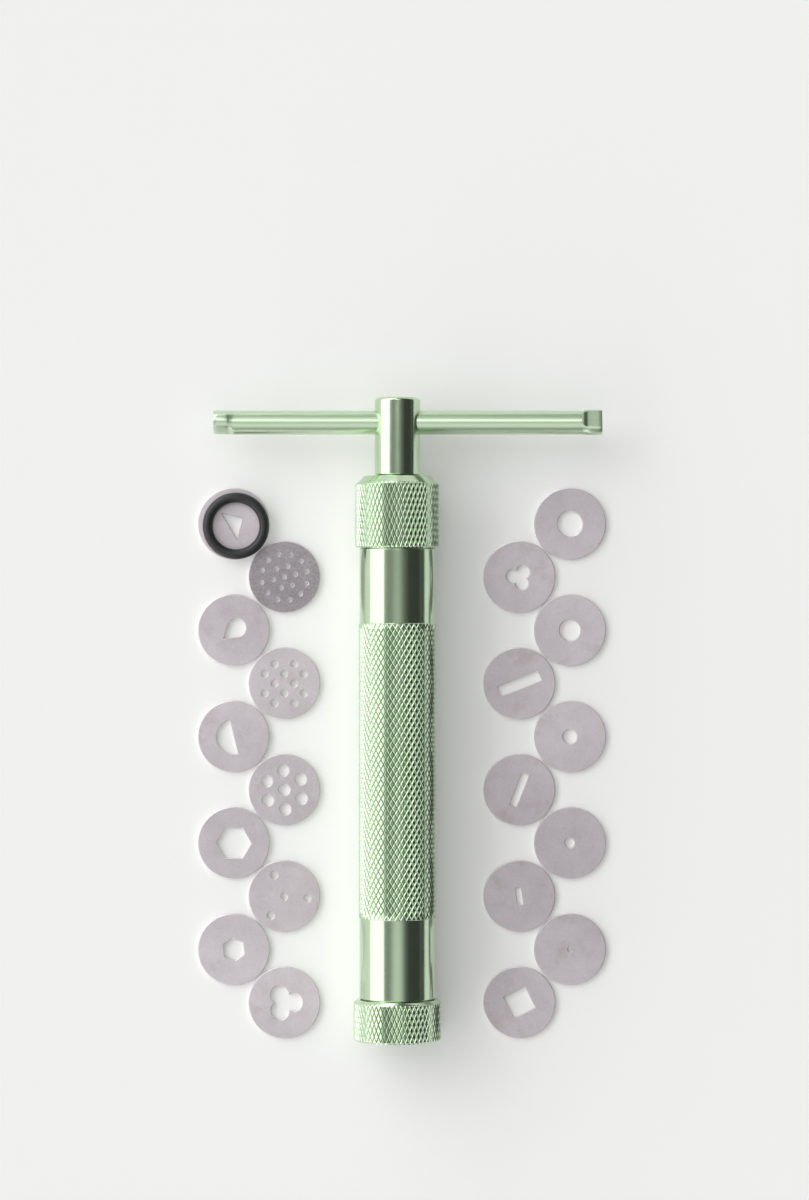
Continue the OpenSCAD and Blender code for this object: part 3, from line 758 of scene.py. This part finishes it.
# %% Turn the top cap
FEED_LEAD = 2.0 * MM
top_knurl = grown(knurl, "top_cap_knurl", radius=11.0 * MM, start=129.28 * MM, length=16.2 * MM,
                  rows=10, **cap_knurl)
top_thread = grown(thread, "top_cap_thread", radius=9.7 * MM, start=129.5 * MM, length=10.0 * MM,
                   depth=-0.5 * MM, **fine_thread)
nut_thread = grown(thread, "nut_thread", radius=5.1 * MM, start=140.5 * MM, length=6.4 * MM,
                   lead=FEED_LEAD, depth=-0.7 * MM, segments=64, run_out=0.8 * MM,
                   material=anodised)
top_cap = spun([
    (9.7, 128.88, 0.2), (10.6, 128.88), (10.6, 145.88), (10.54, 145.94), (10.48, 146.0),
    (8.8, 147.68, 0.2), (5.6, 147.68, 0.1), (5.1, 147.18), (5.1, 147.0), (5.1, 140.4),
    (5.1, 140.08, 0.15), (9.7, 140.08), (9.7, 139.6), (9.7, 129.4),
], 228, [((10.6, 128.88), top_knurl), ((5.1, 147.0), nut_thread), ((9.7, 139.6), top_thread)])
hand_over(turned(top_cap, "knurled_top_cap", anodised), "top_cap", "top_cap")

# %% [markdown]
# ## The feed screw
#
# Steel rod with a coarse thread: 2 mm of travel for each turn, so a full stroke is 62 turns. The
# journal at its lower end turns in the plunger and has a blind hole for the small screw that holds
# the plunger on. The tenon at its upper end is fixed in the head.

# %% Turn the feed screw
screw_thread = grown(thread, "feed_thread", radius=5.0 * MM, start=15.9 * MM, length=130.6 * MM,
                     lead=FEED_LEAD, depth=0.85 * MM, segments=64, run_out=1.5 * MM,
                     material=steel)
feed_screw = spun([
    (0, 22.38), (1.52, 22.38), (1.52, 9.48), (3.0, 9.48, 0.15), (3.0, 14.88), (4.2, 14.88),
    (5.0, 15.68), (5.0, 15.8), (5.0, 146.6), (5.0, 147.98, 0.15), (3.5, 147.98),
    (3.5, 155.98, 0.2), (0, 155.98),
], 64, [((5.0, 15.8), screw_thread)])
hand_over(turned(feed_screw, "threaded_feed_screw", steel), "feed_screw", "screw")

# %% [markdown]
# ## The T-bar
#
# A rod with a flat pressed into each end, so that it can't fall out of the head. The press pushes
# the metal sideways, and the flat ends in a hollow where the tool was round. Cutting flats with a
# boolean would leave ragged triangles in that hollow. Here each section across the rod is drawn
# with its own flat, a softened corner and an arc, always with the same number of points, so the
# edge of the flat is one clean line that narrows to a point at the end of the hollow.

# %% Draw a section across the T-bar
bar_radius, bar_y, bar_from, bar_to = 3.15, 161.68, -48.2, 53.6
flat_height, flat_length, hollow, swell, worn_end = 2.25, 3.6, 2.2, 0.3, 0.14
bar_roll = math.radians(23)
ARC_STEPS = 48


def bar_section(inwards, facing):
    """Points across the rod at a distance from one end, with the flat turned to an angle."""
    into_hollow = min(max(inwards - flat_length, 0), hollow)
    top = min(flat_height + hollow - math.sqrt(hollow ** 2 - into_hollow ** 2), bar_radius)
    edge = math.sqrt(bar_radius ** 2 - top ** 2)
    soft = min(0.2, 0.4 * edge)
    away = math.acos(top / bar_radius) + soft / bar_radius
    arc = [away + (2 * math.pi - 2 * away) * k / ARC_STEPS for k in range(ARC_STEPS + 1)]
    round_side = [(bar_radius * math.cos(a), bar_radius * math.sin(a)) for a in arc]
    corner = []
    for u in (0, 0.25, 0.5, 0.75):
        corner.append(tuple(p * (1 - u) ** 2 + q * 2 * u * (1 - u) + r * u ** 2 for p, q, r in
                            zip((top, edge - soft), (top, edge), round_side[0])))
    flat_top = [(top, (edge - soft) * (k / 4 - 1)) for k in range(1, 8)]
    outline = flat_top + corner + round_side + [(up, -side) for up, side in reversed(corner)]

    # The swell beside the flat fades along the hollow and towards the rod's far side
    fade = swell / bar_radius * (1 - into_hollow / hollow) ** 2
    shrink = 1 - worn_end * max(1 - inwards / worn_end, 0) ** 2 / bar_radius
    turn = facing + bar_roll
    points = []
    for up, side in outline:
        side *= 1 + fade * min(max(up / flat_height + 1, 0), 1)
        y = math.sin(turn) * up + math.cos(turn) * side
        z = math.cos(turn) * up - math.sin(turn) * side
        points.append((y * shrink, z * shrink))
    return points


print("a section of the bar has", len(bar_section(0, 0)), "points")

# %% Press the T-bar
# The hollow's floor comes up to the rod's round at this distance from the flat
hollow_length, hollow_steps = 1.7755, 14
depths = [0, 0.04, 0.08, worn_end, 1.2, 2.4, flat_length]
depths += [flat_length + hollow_length * k / hollow_steps for k in range(1, hollow_steps + 1)]
depths.append(flat_length + hollow)
bm = bmesh.new()
rings = []
for end_x, inwards_sign, facing, order in ((bar_from, 1, math.radians(-90), depths),
                                           (bar_to, -1, 0, depths[::-1])):
    for depth in order:
        rings.append([bm.verts.new((MM * (end_x + inwards_sign * depth), MM * (bar_y + y), MM * z))
                      for y, z in bar_section(depth, facing)])
bm.faces.new(rings[0])
bm.faces.new(rings[-1])
count = len(rings[0])
for i in range(len(rings) - 1):
    if i == len(depths) - 1:
        continue
    for k in range(count):
        n = (k + 1) % count
        bm.faces.new((rings[i][k], rings[i][n], rings[i + 1][n], rings[i + 1][k]))
bmesh.ops.remove_doubles(bm, verts=bm.verts, dist=0.002 * MM)

# The two pressed ends are joined by one long bridge
bmesh.ops.bridge_loops(bm, edges=[e for e in bm.edges if e.is_boundary])
bmesh.ops.recalc_face_normals(bm, faces=bm.faces)
handle_bar = finished(bm, "pressed_handle_bar", drawn, sharp_degrees=28, axis="X")
hand_over(handle_bar, "handle_bar", "handle_bar")

# %% [markdown]
# ## The head, the plunger and its screw
#
# Three more turned pieces, two of them with a cut that no lathe makes. The head is cross-drilled
# for the T-bar, and the small screw has a slot for a screwdriver. A boolean takes the drill or the
# slitting saw away from the turned blank. The new edges then get a narrow bevel, because a hand
# would break them, and they catch the light like the turned ones.

# %% Cut with a tool
def place_key(vertex):
    """A vertex's place in whole thousandths of a millimetre."""
    return tuple(round(c / (0.001 * MM)) for c in vertex.co)


def cut_away(bm, tool, edge_break):
    """Takes the tool away from the blank and breaks the edges that this leaves."""
    carriers = []
    for solid in (bm, tool):
        mesh = bpy.data.meshes.new("uncut")
        solid.to_mesh(mesh)
        solid.free()
        carriers.append(bpy.data.objects.new("uncut", mesh))
        scene.collection.objects.link(carriers[-1])
    cutting = carriers[0].modifiers.new("cutting", "BOOLEAN")
    cutting.object, cutting.operation, cutting.solver = carriers[1], "DIFFERENCE", "EXACT"
    known = {place_key(v) for v in carriers[0].data.vertices}
    mesh = plain_mesh(carriers[0])
    bpy.data.objects.remove(carriers[1])
    bm = bmesh.new()
    bm.from_mesh(mesh)
    bpy.data.meshes.remove(mesh)
    fresh = [v for v in bm.verts if place_key(v) not in known]
    bmesh.ops.remove_doubles(bm, verts=fresh, dist=0.04 * MM)
    fresh = {v for v in bm.verts if place_key(v) not in known}
    sharp = [e for e in bm.edges if e.verts[0] in fresh and e.verts[1] in fresh
             and e.calc_face_angle(0) > math.radians(25)]
    bmesh.ops.bevel(bm, geom=sharp, offset=edge_break * MM, offset_type="OFFSET", segments=2,
                    profile=0.5, affect="EDGES", clamp_overlap=False)
    print("broke", len(sharp), "cut edges")
    return bm


# %% Turn and drill the head
head = spun([(0, 156.0), (3.52, 156.0), (3.52, 147.98, 0.1), (6.0, 147.98, 0.25),
             (6.0, 167.58, 0.2), (5.4, 168.18, 0.2), (0, 168.18)], 128)
drill_radius = 3.25 * MM
drill = bmesh.new()
bmesh.ops.create_cone(drill, cap_ends=True, segments=96, radius1=drill_radius,
                      radius2=drill_radius, depth=16 * MM)
bmesh.ops.transform(drill, verts=drill.verts, matrix=Matrix.Translation((0, bar_y * MM, 0))
                    @ Matrix.Rotation(math.pi / 2, 4, "Y"))
head = turned(cut_away(head, drill, 0.12), "cross_drilled_head", anodised)
hand_over(head, "screw_head", "screw")

# %% Turn the plunger and its screw
plunger = spun([(3.05, 14.78, 0.15), (3.05, 9.58), (4.55, 9.58), (4.55, 6.78, 0.1),
                (6.65, 6.78, 0.1), (7.05, 7.18, 0.1), (7.05, 14.38, 0.1),
                (6.65, 14.78, 0.1)], 128)
hand_over(turned(plunger, "turned_plunger", bare), "plunger", "plunger")

small_screw = spun([(0, 6.78), (4.5, 6.78, 0.3), (4.5, 9.38, 0.1), (1.5, 9.38), (1.5, 21.38, 0.3),
                    (0, 21.38)], 96)
saw = bmesh.new()
bmesh.ops.create_cube(saw, size=1)
bmesh.ops.transform(saw, verts=saw.verts, matrix=Matrix.Translation((0, 6.78 * MM, 0))
                    @ Matrix.Diagonal((12 * MM, 2 * MM, 1.2 * MM, 1)))
small_screw = turned(cut_away(small_screw, saw, 0.08), "slotted_plunger_screw", steel)
hand_over(small_screw, "plunger_screw", "screw")

# %% [markdown]
# ## The die discs
#
# Each disc is a round blank with a different hole, and the punch leaves a small radius on every
# edge. A flat curve suits this best: Blender fills a curve between its outer line and its holes,
# gives it thickness and rounds its edges in one go. The lines are read from the CAD disc's top
# face, so there is no second list of holes to keep in step.

# %% Read the outlines
def top_outlines(node):
    """The closed lines round a CAD disc's top face, the widest first."""
    bm = bmesh.new()
    bm.from_mesh(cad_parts[node].data)
    bmesh.ops.remove_doubles(bm, verts=bm.verts, dist=0.0005 * MM)
    top = max(v.co.z for v in bm.verts)
    face_up = {f for f in bm.faces if f.normal.z > 0.99
               and abs(f.calc_center_median().z - top) < 0.01 * MM}
    # A dict keeps the mesh's own order, which a set of edges would shuffle from run to run
    rim = dict.fromkeys(e for e in bm.edges if sum(f in face_up for f in e.link_faces) == 1)
    loops = []
    while rim:
        loop = list(rim.popitem()[0].verts)
        while True:
            onward = next((e for e in loop[-1].link_edges if e in rim), None)
            if onward is None:
                break
            del rim[onward]
            loop.append(onward.other_vert(loop[-1]))
        loops.append([v.co.copy() for v in loop[:-1]])
    bm.free()
    return sorted(loops, key=lambda loop: min(p.x for p in loop) - max(p.x for p in loop))


print("holes read from disc_seven_holes:", len(top_outlines("disc_seven_holes")) - 1)

# %% [markdown]
# ## Punching them
#
# The widest line is the rim. It is drawn again as a finer circle, and the rest are the holes. The
# curve becomes a mesh, and everything but its two flat faces is marked for the smoother burnished
# edge and its painted rim highlight.

# %% Punch the discs and round their edges
RIM_POINTS = 128
punch_radius = 0.25 * MM


def punched(node, edge_radius, material):
    low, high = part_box(node)
    middle, across, thick = (low + high) / 2, high.x - low.x, high.z - low.z
    flat = bpy.data.curves.new("punched_" + node, "CURVE")
    flat.dimensions, flat.fill_mode = "2D", "BOTH"
    flat.extrude, flat.bevel_depth = thick / 2 - edge_radius, edge_radius
    flat.bevel_resolution, flat.offset = 2, -edge_radius
    rim = [middle + Vector((math.sin(a), math.cos(a), 0)) * across / 2
           for a in (2 * math.pi * k / RIM_POINTS for k in range(RIM_POINTS))]
    for loop in [rim] + top_outlines(node)[1:]:
        line = flat.splines.new("POLY")
        line.points.add(len(loop) - 1)
        for point, at in zip(line.points, loop):
            point.co = (at.x, at.y, 0, 1)
        line.use_cyclic_u = True
    carrier = bpy.data.objects.new(flat.name, flat)
    scene.collection.objects.link(carrier)
    mesh = plain_mesh(carrier)
    mesh.transform(Matrix.Translation((0, 0, middle.z)))
    bm = bmesh.new()
    bm.from_mesh(mesh)
    bpy.data.meshes.remove(mesh)
    bmesh.ops.remove_doubles(bm, verts=bm.verts, dist=0.002 * MM)
    bmesh.ops.recalc_face_normals(bm, faces=bm.faces)
    mesh = finished(bm, flat.name, material, sharp_degrees=25, axis="Z")
    # Marks the rounded edges: real burnish there, and a lighter colour that is a painted rim
    # highlight
    burnish_and_rim_highlight = mesh.attributes.new("burnish_and_rim_highlight", "FLOAT", "POINT")
    for mark, vertex in zip(burnish_and_rim_highlight.data, mesh.vertices):
        mark.value = float(abs(vertex.co.z - middle.z) < thick / 2 - 0.001 * MM)
    return mesh


for node in sorted(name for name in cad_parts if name.startswith("disc_")):
    finish = coarse_tumbled if node == "disc_nineteen_holes" else tumbled
    hand_over(punched(node, punch_radius, finish), node, node)

# %% [markdown]
# ## The sealing ring
#
# A rubber ring is moulded in two halves, and a thin line of flash is left where they meet, round
# the outside and the inside. The ring is a torus built from its box in the frame, with the two
# points of its section at the parting line pushed out by a few hundredths of a millimetre.

# %% Mould the ring
low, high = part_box("sealing_ring")
middle, section = (low + high) / 2, (high.z - low.z) / 2
ring_radius = (high.x - low.x) / 2 - section
HOOPS, HOOP_POINTS = 128, 32
flash_height = 0.03 * MM
bm = bmesh.new()
hoops = []
for i in range(HOOPS):
    turn = 2 * math.pi * i / HOOPS
    hoop = []
    for j in range(HOOP_POINTS):
        lean = 2 * math.pi * j / HOOP_POINTS
        flash = flash_height if j in (0, HOOP_POINTS // 2) else 0
        out = ring_radius + (section + flash) * math.cos(lean)
        hoop.append(bm.verts.new(middle + Vector((out * math.cos(turn), out * math.sin(turn),
                                                  section * math.sin(lean)))))
    hoops.append(hoop)
for i in range(HOOPS):
    one, two = hoops[i], hoops[(i + 1) % HOOPS]
    for j in range(HOOP_POINTS):
        n = (j + 1) % HOOP_POINTS
        bm.faces.new((one[j], two[j], two[n], one[n]))
bmesh.ops.recalc_face_normals(bm, faces=bm.faces)
print("the ring is", round(2 * (ring_radius - section) / MM, 2), "mm wide inside")
sealing_ring = finished(bm, "moulded_sealing_ring", rubber, sharp_degrees=60, axis="Z")
hand_over(sealing_ring, "sealing_ring", "sealing_ring")
